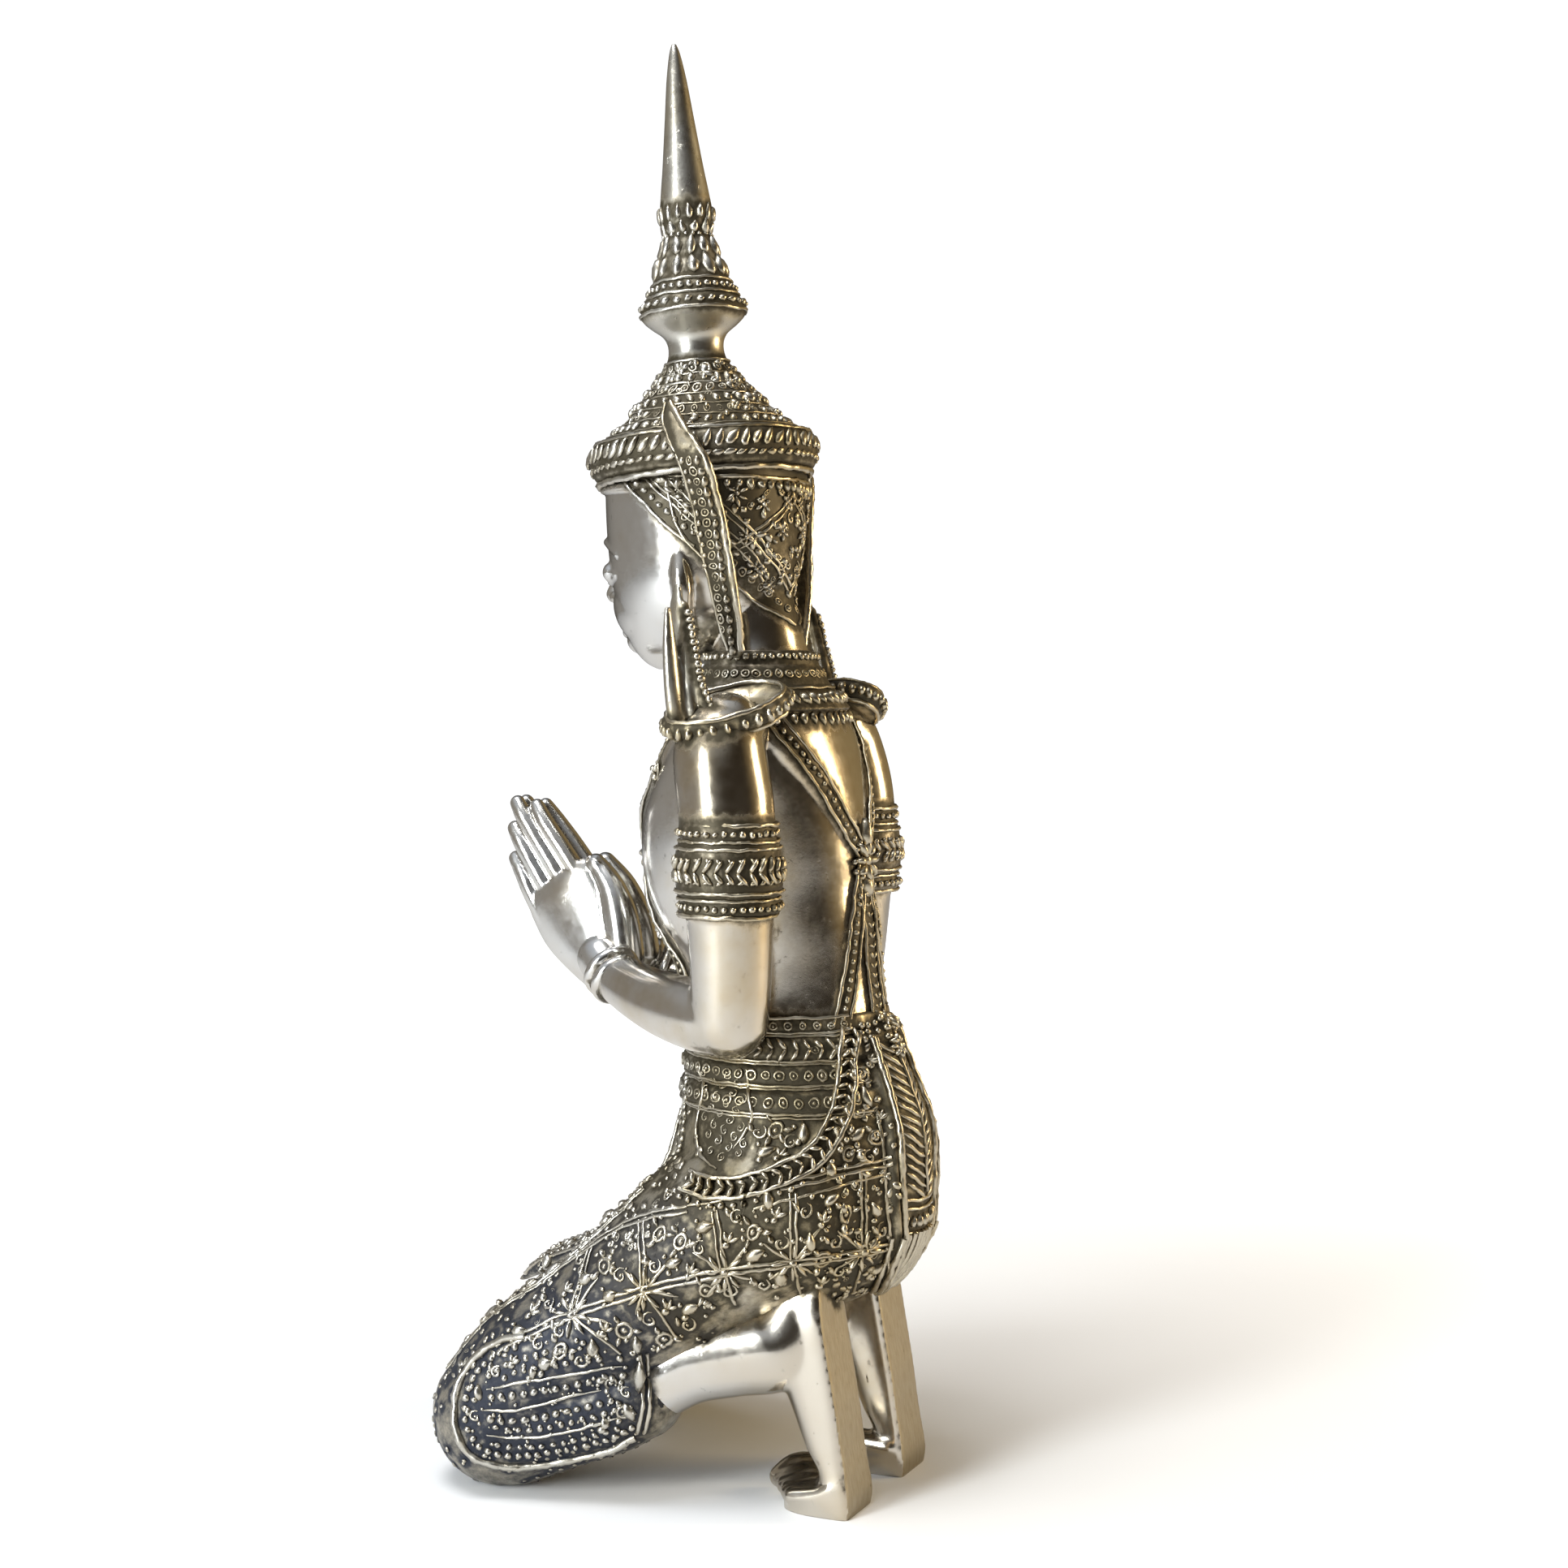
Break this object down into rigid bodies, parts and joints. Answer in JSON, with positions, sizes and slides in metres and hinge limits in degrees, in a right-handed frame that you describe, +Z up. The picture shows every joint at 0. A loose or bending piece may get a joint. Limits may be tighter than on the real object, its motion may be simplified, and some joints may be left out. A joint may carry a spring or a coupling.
{
  "type": "kneeling angel statue",
  "caption": "Kneeling figure with joined palms, tall spired crown, pointed shoulder pieces and a draped skirt, cast in one piece.",
  "frame": {"origin": "on the ground, under the middle of the figure's outline", "axes": "+Z up, the figure faces -Y, its left hand is on +X"},
  "size_m": [0.0858, 0.0992, 0.3025],
  "materials": {
    "silvered_metal": "silvered and polished, with dark patina in the recesses"
  },
  "bodies": {
    "root": {"angel_figure": "silvered_metal"}
  },
  "joints": []
}
